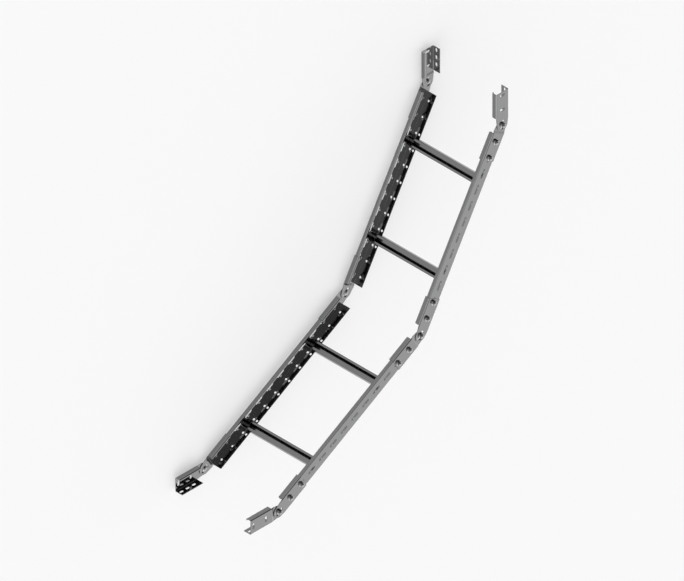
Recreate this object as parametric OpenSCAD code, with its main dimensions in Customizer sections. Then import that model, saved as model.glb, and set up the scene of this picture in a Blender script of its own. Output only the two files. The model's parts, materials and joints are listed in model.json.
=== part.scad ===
// Rising bend of a cable ladder, lying on its left side.
// A pair of hinged connectors joins two short ladder lengths, and a pair at each end takes the next
// ladder. X follows the run below the bend, Y the run above it, and Z goes from the left rails to
// the right ones, so the pivots stand upright.

/* [Bend] */
// Angle that each of the three hinges is turned by
hinge_angle = 30; // [0:1:45]

/* [Ladder lengths] */
// Width over the outside of the rails
ladder_w = 300; // [150:10:600]
// Length of a rail
rail_len = 600; // [500:50:1200]
// Distance between the two rungs of a ladder length
rung_pitch = 300; // [150:10:350]

/* [Rails] */
// Height of a rail
rail_h = 45; // [40:1:80]
// Thickness of the rail's sheet
rail_t = 1.5; // [1:0.1:2.5]
// Width of the rail's top flange
rail_top_w = 12.5; // [10:0.5:20]
// Depth of the lip that turns down from the top flange
rail_lip = 6; // [5:0.5:9]
// Width of the rail's bottom flange
rail_bottom_w = 32; // [30:1:45]
// Inside radius of the rail's folds
rail_fold_r = 0.5; // [0.5:0.1:1.5]
// Distance between the slots along the web
slot_pitch = 50; // [45:1:70]
// Length of a slot in the web
slot_len = 30; // [26:1:36]
// Height of the slots above the middle of the web
slot_rise = 0.6; // [0:0.1:1.5]
// Diameter of the holes in the bottom flange
hole_d = 7; // [4:0.5:9]
// Distance from the web's outside to the first row of holes
hole_row_1 = 12.5; // [11:0.5:14]
// Distance from the web's outside to the second row of holes
hole_row_2 = 25; // [23:0.5:26]

/* [Rungs] */
// Width of a rung
rung_w = 30; // [24:1:45]
// Height of a rung
rung_h = 18; // [14:1:24]
// Width of the slot along the top of a rung
rung_slot_w = 15; // [8:1:18]
// Thickness of the rung's sheet
rung_t = 1.5; // [1:0.1:2.5]
// Inside radius of the folds of rungs and connectors
fold_r = 1.5; // [0.5:0.1:1.5]

/* [Connectors] */
// Thickness of the connector's sheet
conn_t = 2; // [1.5:0.1:3]
// Depth of the lip that turns down from the connector's top flange
conn_lip = 6; // [5.5:0.5:10]
// Width of the connector's bottom flange
conn_bottom_w = 28; // [24:1:36]
// Length past the last bolt station
conn_margin = 11; // [10:1:25]
// Length of the slots across the web
conn_slot_len = 19; // [12:1:24]
// Width of the slots in the bottom flange
flange_slot_w = 7; // [4:0.5:9]
// Length of the slots in the bottom flange
flange_slot_len = 14; // [10:0.5:18]
// Radius of the round tongue about the pivot
tongue_r = 20; // [18:0.5:24]
// Length over which a set-in tongue steps inwards
step_len = 6; // [4:0.5:10]
// Radius of the middle of the curved slots about the pivot
arc_slot_r = 12.5; // [11:0.5:13.5]
// Width of the curved slots
arc_slot_w = 5; // [2:0.5:6]
// Angle between the ends' centres of a curved slot
arc_slot_angle = 50; // [20:1:80]

/* [Fasteners] */
// Diameter of the bolts
bolt_d = 8; // [6:1:9]
// Diameter of the round heads
head_d = 18; // [14:0.5:20]
// Height of the round heads
head_h = 4.5; // [3:0.5:6]
// Width of the nuts across flats
nut_af = 13; // [12:0.5:15]
// Diameter of the nuts' flanges
nut_flange_d = 18; // [16:0.5:20]
// Height of the nuts
nut_h = 8; // [6:0.5:10]
// Length of bolt past its nut
bolt_past = 2.5; // [1.5:0.5:5]
// Distance of the bolts from the middle of the rail's slots, towards the hinge
bolt_offset = 1; // [0:0.5:8]

/* [Clearances] */
// Gap between a connector and the rail's flanges
conn_clear = 0.25; // [0.1:0.05:0.5]
// Gap between the rail's top flange and the connector's lip
lip_clear = 2; // [0.5:0.5:4]
// Gap between the two tongues of a hinge
tongue_gap = 0.2; // [0.1:0.05:0.4]
// Gap from a tongue's edge to the step of the other tongue
step_clear = 1.5; // [1:0.5:3]
// Gap around the pivot bolt in the tongues
pivot_clear = 0.08; // [0.02:0.02:0.3]
// Gap between the tongues of a hinge and the head or nut of its pivot bolt
pivot_gap = 0.2; // [0.1:0.05:0.4]
// Gap around the other bolts across their slots
slot_clear = 0.25; // [0.1:0.05:0.5]
// Gap between bolt and nut
thread_clear = 0.05; // [0.02:0.01:0.1]

/* [Hidden] */
$fn = 64;
cut = 1;
flange_setback = 1;
edge_chamfer = 1;
rail_colour = [0.66, 0.67, 0.68];
rung_colour = [0.62, 0.63, 0.64];
connector_colour = [0.72, 0.73, 0.74];
fastener_colour = [0.50, 0.51, 0.53];

SIDES = ["left", "right"];
LENGTHS = ["lower", "upper"];
HINGES = ["bottom", "middle", "top"];
// The two halves of each hinge, the one below the pivot first
HALVES = [
    ["bottom_end", "bottom_rail"],
    ["middle_lower", "middle_upper"],
    ["top_rail", "top_end"]
];
// The halves that are bolted to a rail, as hinge and half
BOLTED = [[0, 1], [1, 0], [1, 1], [2, 0]];

// The connector wraps the rail from outside.
conn_h = rail_h + 2 * (conn_clear + conn_t);
conn_top_w = rail_top_w + lip_clear + 2 * conn_t;
overall_w = ladder_w + 2 * conn_t;

// Along the run, from the pivot: the step of a set-in tongue, the rail's end, the flanges
step_start = tongue_r + step_clear;
rail_gap = step_start + step_len + step_clear;
flange_start = rail_gap + flange_setback;
span = rail_len + 2 * rail_gap;
step_in = conn_t + tongue_gap;

web_slot_w = bolt_d + 2 * slot_clear;
conn_slot_w = bolt_d + 4 * slot_clear;
rung_end = conn_t + rail_t + rail_fold_r + conn_clear;
rung_foot = rail_t - rail_h / 2;
floor_z = nut_h + bolt_past;
thread_r = bolt_d / 2 + thread_clear;

// The slots of a rail lie evenly about its middle. The first two at a hinge take the connector's bolts.
slot_count = floor(rail_len / slot_pitch);
slot_margin = (rail_len - (slot_count - 1) * slot_pitch) / 2;
bolt_stations = [for (k = [0, 1]) rail_gap + slot_margin + k * slot_pitch - bolt_offset];
flange_stations = [for (k = [0, 0.5, 1]) rail_gap + slot_margin + k * slot_pitch];
conn_end = bolt_stations[1] + conn_margin;

function heading(i) = i * hinge_angle;
function along(i, d) = d * [cos(heading(i)), sin(heading(i))];
function across(i, d) = d * [-sin(heading(i)), cos(heading(i))];
function pivot(i) = i == 0 ? [0, 0] : pivot(i - 1) + along(i, span);

// Corners of the free connector halves in plan, which the whole bend reaches to
reach = [for (end = [[0, 0, -conn_end], [2, 3, conn_end]], x = [0, 1], y = [-0.5, 0.5])
    pivot(end[0]) + along(end[1], x * end[2]) + across(end[1], y * conn_h)];
function middle(axis) = (min([for (p = reach) p[axis]]) + max([for (p = reach) p[axis]])) / 2;

// Puts a piece of a left rail's side at a pivot, on the heading of its ladder length, and mirrors it
// for the right side. Its z starts at the outside of the connectors.
module at_pivot(h, i, side) {
    translate([pivot(h)[0] - middle(0), pivot(h)[1] - middle(1), floor_z])
        rotate(heading(i))
            translate([0, 0, side == "left" ? 0 : overall_w])
                mirror([0, 0, side == "left" ? 0 : 1])
                    children();
}

// Puts a connector half, or what is on it, at hinge h: half 0 runs back from the pivot, half 1 on.
module at_half(h, k, side) {
    at_pivot(h, h + k, side) mirror([k == 0 ? 1 : 0, 0, 0]) children();
}

// Extrudes a section along the run: its first axis is the height, its second goes inwards.
module bar(from, to) {
    translate([from, 0, 0]) rotate([90, 0, 90]) linear_extrude(to - from) children();
}

module quarter_fold(r, t) {
    intersection() {
        difference() {
            circle(r + t);
            circle(r);
        }
        square(r + t);
    }
}

// Folded channel: upright web, top flange with a lip, flat bottom flange
module lipped_channel(h, t, r, top_w, lip, bottom_w) {
    outer_r = r + t;
    turn = h / 2 - outer_r;
    translate([-turn, 0]) square([2 * turn, t]);
    translate([turn, outer_r]) mirror([0, 1]) quarter_fold(r, t);
    translate([h / 2 - t, outer_r]) square([t, top_w - 2 * outer_r]);
    translate([turn, top_w - outer_r]) quarter_fold(r, t);
    translate([h / 2 - lip, top_w - t]) square([lip - outer_r, t]);
    translate([-turn, outer_r]) rotate(180) quarter_fold(r, t);
    translate([-h / 2, outer_r]) square([t, bottom_w - outer_r]);
}

// Rung section with its slot at the top, standing on the axis
module slotted_channel() {
    outer_r = fold_r + rung_t;
    turn = rung_w / 2 - outer_r;
    translate([-turn, 0]) square([2 * turn, rung_t]);
    for (flip = [0, 1]) mirror([flip, 0]) {
        translate([turn, outer_r]) mirror([0, 1]) quarter_fold(fold_r, rung_t);
        translate([rung_w / 2 - rung_t, outer_r]) square([rung_t, rung_h - 2 * outer_r]);
        translate([turn, rung_h - outer_r]) quarter_fold(fold_r, rung_t);
        translate([rung_slot_w / 2, rung_h - rung_t]) square([turn - rung_slot_w / 2, rung_t]);
    }
}

// Flat outline of a slot that runs along the first axis
module slot(len, w) {
    square([len - w, w], center = true);
    for (x = [-1, 1]) translate([x * (len - w) / 2, 0]) circle(d = w);
}

module arc_slot() {
    turn = arc_slot_angle / 2;
    rotate(-turn) ring_sector(turn * 2);
    for (a = [-turn, turn]) rotate(a) translate([arc_slot_r, 0]) circle(d = arc_slot_w);
}

// Flat ring sector from the first axis on, as wide as a curved slot
module ring_sector(angle) {
    far = 2 * tongue_r;
    intersection() {
        difference() {
            circle(arc_slot_r + arc_slot_w / 2);
            circle(arc_slot_r - arc_slot_w / 2);
        }
        polygon([[0, 0], [far, 0], far * [cos(angle / 2), sin(angle / 2)], far * [cos(angle), sin(angle)]]);
    }
}

module rail(i, side) {
    holes_at = [for (k = [0 : slot_count - 1]) slot_margin + k * slot_pitch];
    color(rail_colour)
    at_pivot(i, i + 1, side) translate([rail_gap, 0, conn_t]) difference() {
        bar(0, rail_len) lipped_channel(rail_h, rail_t, rail_fold_r, rail_top_w, rail_lip, rail_bottom_w);
        for (x = holes_at) {
            translate([x, slot_rise, -cut]) linear_extrude(rail_t + 2 * cut) slot(slot_len, web_slot_w);
            for (z = [hole_row_1, hole_row_2])
                translate([x, rail_t + cut - rail_h / 2, z])
                    rotate([90, 0, 0]) cylinder(h = rail_t + 2 * cut, d = hole_d);
        }
    }
}

module rung(i, n) {
    color(rung_colour)
    at_pivot(i, i + 1, "left")
        translate([span / 2 + (n - 1.5) * rung_pitch, rung_foot, rung_end])
            linear_extrude(overall_w - 2 * rung_end) slotted_channel();
}

// Outline of a tongue: a round about the pivot that widens to the full height of the connector
module tongue_outline() {
    root = [flange_start, conn_h / 2];
    touch = atan2(root[1], root[0]) + acos(tongue_r / norm(root));
    side_point = tongue_r * [cos(touch), sin(touch)];
    circle(tongue_r);
    polygon([root, side_point, [side_point[0], -side_point[1]], [root[0], -root[1]]]);
}

// Section of the tongue across its step; a flat tongue steps in by nothing.
module tongue_step(inset) {
    step_end = step_start + step_len;
    polygon([
        [flange_start, 0], [step_end, 0], [step_start, inset], [-tongue_r - cut, inset],
        [-tongue_r - cut, inset + conn_t], [step_start, inset + conn_t], [step_end, conn_t],
        [flange_start, conn_t]
    ]);
}

// Block whose outer edges have the round of the connector's folds, so that the tongue's root has it
module folded_block() {
    outer_r = fold_r + conn_t;
    turn = conn_h / 2 - outer_r;
    depth = conn_top_w;
    translate([-turn, 0]) square([2 * turn, depth]);
    translate([-conn_h / 2, outer_r]) square([conn_h, depth - outer_r]);
    for (y = [-turn, turn]) translate([y, outer_r]) circle(outer_r);
}

// The tongue that is set in belongs to the half below the pivot on the right, and above it on the left.
module connector_half(h, k, side) {
    inset = (k == 0) == (side == "right") ? step_in : 0;
    color(connector_colour)
    at_half(h, k, side) difference() {
        union() {
            bar(flange_start, conn_end)
                lipped_channel(conn_h, conn_t, fold_r, conn_top_w, conn_lip, conn_bottom_w);
            intersection() {
                linear_extrude(conn_top_w) tongue_outline();
                translate([0, conn_h, 0]) rotate([90, 0, 0]) linear_extrude(2 * conn_h) tongue_step(inset);
                bar(-tongue_r - cut, flange_start) folded_block();
            }
        }
        translate([0, 0, -cut]) linear_extrude(conn_top_w) {
            circle(bolt_d / 2 + pivot_clear);
            for (a = [0, 180]) rotate(a) arc_slot();
        }
        for (x = bolt_stations)
            translate([x, 0, -cut]) linear_extrude(conn_t + 2 * cut) rotate(90) slot(conn_slot_len, conn_slot_w);
        for (x = flange_stations)
            translate([x, conn_t + cut - conn_h / 2, conn_t + hole_row_1])
                rotate([90, 0, 0]) linear_extrude(conn_t + 2 * cut) slot(flange_slot_len, flange_slot_w);
    }
}

// Round-headed bolt from inside; its head bears at the grip, and its end stands past the nut.
module bolt(grip) {
    dome_r = (pow(head_d / 2, 2) + head_h * head_h) / (2 * head_h);
    shank_r = bolt_d / 2;
    rotate_extrude() {
        translate([0, -floor_z]) polygon([
            [0, 0], [shank_r - edge_chamfer, 0], [shank_r, edge_chamfer], [shank_r, floor_z + grip],
            [0, floor_z + grip]
        ]);
        intersection() {
            translate([0, grip + head_h - dome_r]) circle(dome_r);
            translate([0, grip]) square([head_d, head_h + cut]);
        }
    }
}

// Hexagon nut with a flange that bears on the outside of the connector
module flange_nut() {
    flange_h = nut_h / 4;
    corner_r = nut_af / sqrt(3);
    flange_r = nut_flange_d / 2;
    difference() {
        union() {
            intersection() {
                translate([0, 0, -nut_h]) cylinder(h = nut_h, r = corner_r, $fn = 6);
                rotate_extrude() polygon([
                    [0, -nut_h], [nut_af / 2 - edge_chamfer / 2, -nut_h], [corner_r, edge_chamfer - nut_h],
                    [corner_r, 0], [0, 0]
                ]);
            }
            rotate_extrude() polygon([
                [0, 0], [flange_r, 0], [flange_r, -flange_h / 2], [nut_af / 2, -flange_h - edge_chamfer],
                [0, -flange_h - edge_chamfer]
            ]);
        }
        translate([0, 0, -nut_h - cut]) cylinder(h = nut_h + 2 * cut, r = thread_r);
    }
}

module half_bolts(h, k, side) {
    color(fastener_colour)
    at_half(h, k, side) for (x = bolt_stations) translate([x, slot_rise, 0]) bolt(conn_t + rail_t);
}

module half_nuts(h, k, side) {
    color(fastener_colour)
    at_half(h, k, side) for (x = bolt_stations) translate([x, slot_rise, 0]) flange_nut();
}

module pivot_bolt(h, side) {
    color(fastener_colour) at_pivot(h, h, side) bolt(step_in + conn_t + pivot_gap);
}

module pivot_nut(h, side) {
    color(fastener_colour) at_pivot(h, h, side) translate([0, 0, -pivot_gap]) flange_nut();
}

for (i = [0, 1], side = SIDES)
    rail(i, side);
for (i = [0, 1], n = [1, 2])
    rung(i, n);
for (h = [0 : 2], k = [0, 1], side = SIDES)
    connector_half(h, k, side);
for (b = BOLTED, side = SIDES) {
    name = HALVES[b[0]][b[1]];
    half_bolts(b[0], b[1], side);
    half_nuts(b[0], b[1], side);
}
for (h = [0 : 2], side = SIDES) {
    pivot_bolt(h, side);
    pivot_nut(h, side);
}
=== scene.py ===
"""Dresses the cable ladder bend: zinc finishes for its sheet and fasteners, threaded bolts, floor,
light and camera.

The bend lies on its left side, so what stands upright in the picture runs along the frame's +Y, and
the camera looks down on the bend at an exact isometric angle.
"""

import json
import math

import bpy
from mathutils import Matrix, Vector


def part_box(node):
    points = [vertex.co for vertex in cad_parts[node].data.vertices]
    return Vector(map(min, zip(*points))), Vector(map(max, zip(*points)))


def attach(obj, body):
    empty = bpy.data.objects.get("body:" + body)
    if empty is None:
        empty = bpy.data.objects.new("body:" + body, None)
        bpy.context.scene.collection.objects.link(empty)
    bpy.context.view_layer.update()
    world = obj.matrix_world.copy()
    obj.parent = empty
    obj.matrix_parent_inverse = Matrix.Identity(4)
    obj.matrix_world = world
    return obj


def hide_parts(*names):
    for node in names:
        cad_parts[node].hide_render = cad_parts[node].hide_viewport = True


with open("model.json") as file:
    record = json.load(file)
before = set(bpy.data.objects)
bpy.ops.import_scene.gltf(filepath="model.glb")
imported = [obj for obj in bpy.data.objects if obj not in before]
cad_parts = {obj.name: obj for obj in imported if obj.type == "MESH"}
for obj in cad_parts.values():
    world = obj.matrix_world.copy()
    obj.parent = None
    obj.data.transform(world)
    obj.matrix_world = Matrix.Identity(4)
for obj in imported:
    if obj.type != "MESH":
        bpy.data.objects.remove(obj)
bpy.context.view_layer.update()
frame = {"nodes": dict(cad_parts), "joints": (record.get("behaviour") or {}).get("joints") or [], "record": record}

# The picture: its size in pixels, its scale, and where the right rails' middle pivot lies in it
PICTURE = (684, 581)
PIXELS_PER_METRE = 351.4
PIVOT_PIXEL = (420.8, 335.5)

# Isometric camera: right, up and back, as directions in the frame
CAMERA_RIGHT = Vector((1, 0, 1)).normalized()
CAMERA_UP = Vector((1, 2, -1)).normalized()
CAMERA_BACK = Vector((-1, 1, 1)).normalized()
CAMERA_DISTANCE = 4.0

FLOOR_SIZE = 40.0
FLOOR_COLOUR = (0.6, 0.6, 0.6, 1.0)
FLOOR_GLOW = 0.64

# The studio's soft lights: the way to each one, its strength, and how narrow it is
SOFT_LIGHTS = (
    ((0.77, -0.53, 0.35), 1.29, 2.5),
    ((-0.64, 0.49, -0.58), 4.30, 2.5),
    ((-0.60, -0.73, -0.34), 4.50, 2.5),
)
LIGHT_COLOUR = (1.0, 1.0, 1.0, 1.0)
# A dark card above the bend: the way to it, its darkness, and the cosines at which its soft edge
# starts and ends
DARK_CARD = (0.3, 0.55, 0.78)
CARD_DARKNESS = 0.85
CARD_EDGE = (0.83, 0.9)

# The way each sheet runs, as the heading of its ladder length in degrees, by the start of its name
HEADINGS = {
    "bottom_end": 0, "bottom_rail": 30, "middle_lower": 30, "lower": 30,
    "middle_upper": 60, "top_rail": 60, "upper": 60, "top_end": 90,
}

# Zinc: grey, roughness, and the length of its streaks along X, Y and Z before a heading turns them
SHEETS = {
    "rail": (0.2, 0.11, (0.25, 0.004, 0.004)),
    "rung": (0.2, 0.12, (0.004, 0.004, 0.25)),
    "connector": (0.2, 0.1, (0.25, 0.004, 0.004)),
}
FASTENER = (0.3, 0.12, (0.002, 0.002, 0.02))
# Zinc's slight blue, as the share of green and blue for each red
GREEN_TINT = 1.003
BLUE_TINT = 1.008
# How far streaks, spangle and clouds change the grey, as shares of it, and the roughness
STREAK_TONE = 0.03
SPANGLE_TONE = 0.02
CLOUD_TONE = 0.03
STREAK_DULLNESS = 0.04
CLOUD_DULLNESS = 0.02
# Their patterns, in repeats for each metre, and the middle of a pattern's values
SPANGLE_SCALE = 260.0
CLOUD_SCALE = 16.0
PATTERN_MIDDLE = 0.5
# Relief of the skin: its height in metres, its strength, and the spangle's share of the streaks'
SKIN_HEIGHT = 0.0001
SKIN_STRENGTH = 0.05
SPANGLE_RELIEF = 0.3

# Round-headed bolts, in metres
BOLT_RADIUS = 0.004
BOLT_SIDES = 40
TIP_RADIUS = 0.003
THREAD_PITCH = 0.00125
THREAD_DEPTH = 0.0006
THREAD_TURNS = 5
HEAD_RADIUS = 0.009
HEAD_HEIGHT = 0.0045
HEAD_RIM = 0.0003
HEAD_STEPS = 9
SMOOTH_ANGLE = math.radians(30)
# Heights in pitches: the first crest above the tip, then a turn's crest and root above its start
THREAD_START = 0.6
THREAD_CREST = (0.0, 0.12)
THREAD_ROOT = (0.44, 0.68)
# Decimals of a metre to which bolts of one length agree
LENGTH_DECIMALS = 5


class Socket:
    """A node socket, or a number, that Python's operators turn into Math nodes."""

    def __init__(self, tree, value):
        self.tree = tree
        self.value = value

    def math(self, operation, *others):
        node = self.tree.nodes.new("ShaderNodeMath")
        node.operation = operation
        for index, value in enumerate((self, *others)):
            plug(self.tree, node.inputs[index], value)
        return Socket(self.tree, node.outputs[0])

    def __add__(self, other):
        return self.math("ADD", other)

    __radd__ = __add__

    def __sub__(self, other):
        return self.math("SUBTRACT", other)

    def __rsub__(self, other):
        return Socket(self.tree, other).math("SUBTRACT", self)

    def __mul__(self, other):
        return self.math("MULTIPLY", other)

    __rmul__ = __mul__


def plug(tree, socket, value):
    """Links a socket to a Socket, or sets it to a plain value."""
    if isinstance(value, Socket):
        value = value.value
    if isinstance(value, bpy.types.NodeSocket):
        tree.links.new(value, socket)
    else:
        socket.default_value = value


class Shader:
    """A node tree that is built node by node, each from its type, settings and sockets.

    A socket is named with _ for each space, or by its number after a _."""

    def __init__(self, tree):
        self.tree = tree
        tree.nodes.clear()

    def node(self, kind, settings=(), **sockets):
        made = self.tree.nodes.new("ShaderNode" + kind)
        for name, value in dict(settings).items():
            setattr(made, name, value)
        for name, value in sockets.items():
            key = int(name[1:]) if name[0] == "_" else name.replace("_", " ")
            plug(self.tree, made.inputs[key], value)
        return made

    def out(self, kind, output, settings=(), **sockets):
        return Socket(self.tree, self.node(kind, settings, **sockets).outputs[output])


def shader_of(name):
    material = bpy.data.materials.new(name)
    material.use_nodes = True
    return material, Shader(material.node_tree)


def zinc(name, grey, roughness, grain, heading=0):
    """Bright zinc on rolled steel: faint streaks along the sheet, barely seen spangle, and clouds
    in the gloss."""
    material, shade = shader_of(name)
    place = shade.out("TexCoord", "Object")
    run = shade.out("Mapping", "Vector", {"vector_type": "TEXTURE"}, Vector=place,
                    Rotation=(0.0, 0.0, math.radians(heading)), Scale=grain)
    streaks = shade.out("TexNoise", "Fac", Vector=run, Scale=1.0, Detail=4.0, Roughness=0.6)
    crystals = shade.out("TexVoronoi", "Color", {"feature": "F1"}, Vector=place, Scale=SPANGLE_SCALE)
    facet = shade.out("SeparateColor", "Red", Color=crystals)
    clouds = shade.out("TexNoise", "Fac", Vector=place, Scale=CLOUD_SCALE, Detail=3.0, Roughness=0.5)
    tone = grey * (1.0 + STREAK_TONE * (streaks - PATTERN_MIDDLE)
                   + SPANGLE_TONE * (facet - PATTERN_MIDDLE)
                   + CLOUD_TONE * (clouds - PATTERN_MIDDLE))
    colour = shade.out("CombineColor", "Color",
                       Red=tone, Green=tone * GREEN_TINT, Blue=tone * BLUE_TINT)
    dull = (roughness + STREAK_DULLNESS * (streaks - PATTERN_MIDDLE)
            + CLOUD_DULLNESS * (clouds - PATTERN_MIDDLE))
    skin = shade.out("Bump", "Normal", Strength=SKIN_STRENGTH, Distance=SKIN_HEIGHT,
                     Height=streaks + SPANGLE_RELIEF * facet)
    surface = shade.out("BsdfPrincipled", "BSDF",
                        Base_Color=colour, Metallic=1.0, Roughness=dull, Normal=skin)
    shade.node("OutputMaterial", Surface=surface)
    return material


# Materials by slot, and for sheet by its heading too
FASTENER_ZINC = zinc("fastener_zinc", *FASTENER)
FINISHES = {"fastener_steel": {None: FASTENER_ZINC}}
for sheet, look in SHEETS.items():
    FINISHES[sheet + "_steel"] = {
        heading: zinc(f"{sheet}_zinc_{heading}", *look, heading)
        for heading in sorted(set(HEADINGS.values()))
    }


def heading_of(node):
    return next(heading for start, heading in HEADINGS.items() if node.startswith(start))


def dress_cad_nodes():
    for entry in frame["record"]["subparts"]:
        node, slot = entry["node"], entry["material_slot"]
        finish = FINISHES[slot][None if slot == "fastener_steel" else heading_of(node)]
        mesh = frame["nodes"][node].data
        mesh.materials.clear()
        mesh.materials.append(finish)


def bolt_rings(length):
    """Rings of a bolt from its tip up: height and radius. The head bears at the given length."""
    root = BOLT_RADIUS - THREAD_DEPTH
    rings = [(0.0, TIP_RADIUS)]
    for turn in range(THREAD_TURNS):
        start = (turn + THREAD_START) * THREAD_PITCH
        crest = BOLT_RADIUS if turn else (BOLT_RADIUS + root) / 2
        for shares, radius in ((THREAD_CREST, crest), (THREAD_ROOT, root)):
            rings += [(start + share * THREAD_PITCH, radius) for share in shares]
    rings += [((THREAD_TURNS + THREAD_START) * THREAD_PITCH, BOLT_RADIUS), (length, BOLT_RADIUS),
              (length, HEAD_RADIUS), (length + HEAD_RIM, HEAD_RADIUS)]
    rise = HEAD_HEIGHT - HEAD_RIM
    dome = (HEAD_RADIUS ** 2 + rise ** 2) / (2 * rise)
    half_angle = math.asin(HEAD_RADIUS / dome)
    for step in range(1, HEAD_STEPS):
        angle = half_angle * (1 - step / HEAD_STEPS)
        rings.append((length + HEAD_HEIGHT - dome * (1 - math.cos(angle)), dome * math.sin(angle)))
    return rings


def turn_bolt(length):
    """Turns a bolt about Z, ring by ring, by extruding and scaling its end face."""
    rings = bolt_rings(length)
    (low, tip), (high, first) = rings[:2]
    bpy.ops.object.select_all(action="DESELECT")
    bpy.ops.mesh.primitive_cone_add(
        vertices=BOLT_SIDES, radius1=tip, radius2=first, depth=high - low,
        location=(0.0, 0.0, (low + high) / 2))
    bolt = bpy.context.object
    bpy.ops.object.transform_apply(location=True, rotation=True, scale=True)
    bpy.ops.object.mode_set(mode="EDIT")
    bpy.ops.mesh.select_mode(type="FACE")
    bpy.ops.mesh.select_all(action="DESELECT")
    bpy.ops.object.mode_set(mode="OBJECT")
    max(bolt.data.polygons, key=lambda face: face.normal.z).select = True
    bpy.ops.object.mode_set(mode="EDIT")
    for (height, radius), (next_height, next_radius) in zip(rings[1:], rings[2:]):
        rise = (0.0, 0.0, next_height - height)
        bpy.ops.mesh.extrude_region_move(TRANSFORM_OT_translate={"value": rise})
        change = next_radius / radius
        bpy.ops.transform.resize(
            value=(change, change, 1.0), center_override=(0.0, 0.0, next_height))
    bpy.ops.object.mode_set(mode="OBJECT")
    bpy.ops.object.shade_smooth_by_angle(angle=SMOOTH_ANGLE)
    bolt.data.materials.append(FASTENER_ZINC)
    return bolt


def solids_of(node):
    """Boxes of a node's separate round solids, which stand upright and far apart."""
    groups = []
    for vertex in frame["nodes"][node].data.vertices:
        for group in groups:
            if (vertex.co - group[0]).xy.length < 2 * HEAD_RADIUS:
                group.append(vertex.co)
                break
        else:
            groups.append([vertex.co])
    return [
        [Vector(pick(point[axis] for point in group) for axis in range(3)) for pick in (min, max)]
        for group in groups
    ]


def copy_bolt(model, low, high, tip_down):
    """Copies a bolt into the box of a plain one, with its tip down or up."""
    middle = (low + high) / 2
    if tip_down:
        place = Matrix.Translation((middle.x, middle.y, low.z))
    else:
        place = Matrix.Translation((middle.x, middle.y, high.z)) @ Matrix.Rotation(math.pi, 4, "X")
    copy = bpy.data.objects.new("bolt", model.data.copy())
    copy.data.transform(place)
    bpy.context.scene.collection.objects.link(copy)
    return copy


def make_bolts():
    """Threaded bolts in place of the plain ones, each with its tip where the plain one's is."""
    models = {}
    for body, nodes in frame["record"]["behaviour"]["bodies"].items():
        for node in nodes:
            if "_bolt" not in node:
                continue
            copies = []
            for low, high in solids_of(node):
                length = round(high.z - low.z - HEAD_HEIGHT, LENGTH_DECIMALS)
                if length not in models:
                    models[length] = turn_bolt(length)
                copies.append(copy_bolt(models[length], low, high, node.endswith("left")))
            bpy.ops.object.select_all(action="DESELECT")
            for copy in copies:
                copy.select_set(True)
            bpy.context.view_layer.objects.active = copies[0]
            if len(copies) > 1:
                bpy.ops.object.join()
            piece = bpy.context.object
            piece.name = "threaded_" + node
            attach(piece, body)
            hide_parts(node)
    for model in models.values():
        bpy.data.objects.remove(model)


def make_camera():
    """Puts the camera where the right rails' middle pivot falls on its pixel in the picture."""
    pivot = Vector(next(j for j in frame["joints"] if j["name"] == "middle_hinge")["pos_m"])
    pivot.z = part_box("middle_upper_half_right")[1].z
    across = (PIVOT_PIXEL[0] - PICTURE[0] / 2) / PIXELS_PER_METRE
    below = (PIVOT_PIXEL[1] - PICTURE[1] / 2) / PIXELS_PER_METRE
    aim = pivot - CAMERA_RIGHT * across + CAMERA_UP * below
    data = bpy.data.cameras.new("camera")
    data.type = "ORTHO"
    data.ortho_scale = PICTURE[0] / PIXELS_PER_METRE
    camera = bpy.data.objects.new("camera", data)
    axes = Matrix((CAMERA_RIGHT, CAMERA_UP, CAMERA_BACK)).transposed().to_4x4()
    camera.matrix_world = Matrix.Translation(aim + CAMERA_BACK * CAMERA_DISTANCE) @ axes
    bpy.context.scene.collection.objects.link(camera)
    bpy.context.scene.camera = camera


def make_floor():
    """A pale matt floor that takes the shadows, and glows enough to look white to the eye and in
    the metal."""
    bpy.ops.object.select_all(action="DESELECT")
    bpy.ops.mesh.primitive_plane_add(size=FLOOR_SIZE)
    floor = bpy.context.object
    floor.name = "floor"
    material, shade = shader_of("pale_floor")
    rays = ("Is Camera Ray", "Is Glossy Ray", "Is Transmission Ray")
    camera, glossy, through = (shade.out("LightPath", ray) for ray in rays)
    matt = shade.out("BsdfDiffuse", "BSDF", Color=FLOOR_COLOUR)
    glow = shade.out("Emission", "Emission", Color=FLOOR_COLOUR,
                     Strength=(camera + glossy + through) * FLOOR_GLOW)
    both = shade.out("AddShader", "Shader", _0=matt, _1=glow)
    shade.node("OutputMaterial", Surface=both)
    floor.data.materials.append(material)


def make_light():
    """Wide soft lights all round, brightest in the middle of each, and a dark card that draws the
    folds."""
    world = bpy.data.worlds.new("studio")
    bpy.context.scene.world = world
    world.use_nodes = True
    shade = Shader(world.node_tree)
    way = shade.out("TexCoord", "Generated")

    def facing(towards):
        return shade.out("VectorMath", "Value", {"operation": "DOT_PRODUCT"},
                         _0=way, _1=Vector(towards).normalized())

    level = Socket(shade.tree, 0.0)
    for towards, strength, focus in SOFT_LIGHTS:
        level = level + strength * (focus * (facing(towards) - 1.0)).math("EXPONENT")
    card = shade.out("MapRange", "Result", {"interpolation_type": "SMOOTHSTEP"},
                     Value=facing(DARK_CARD), From_Min=CARD_EDGE[0], From_Max=CARD_EDGE[1])
    level = level * (1.0 - CARD_DARKNESS * card)
    light = shade.out("Background", "Background", Color=LIGHT_COLOUR, Strength=level)
    shade.node("OutputWorld", Surface=light)


make_camera()
dress_cad_nodes()
make_bolts()
make_floor()
make_light()
bpy.context.scene.view_settings.view_transform = "Standard"
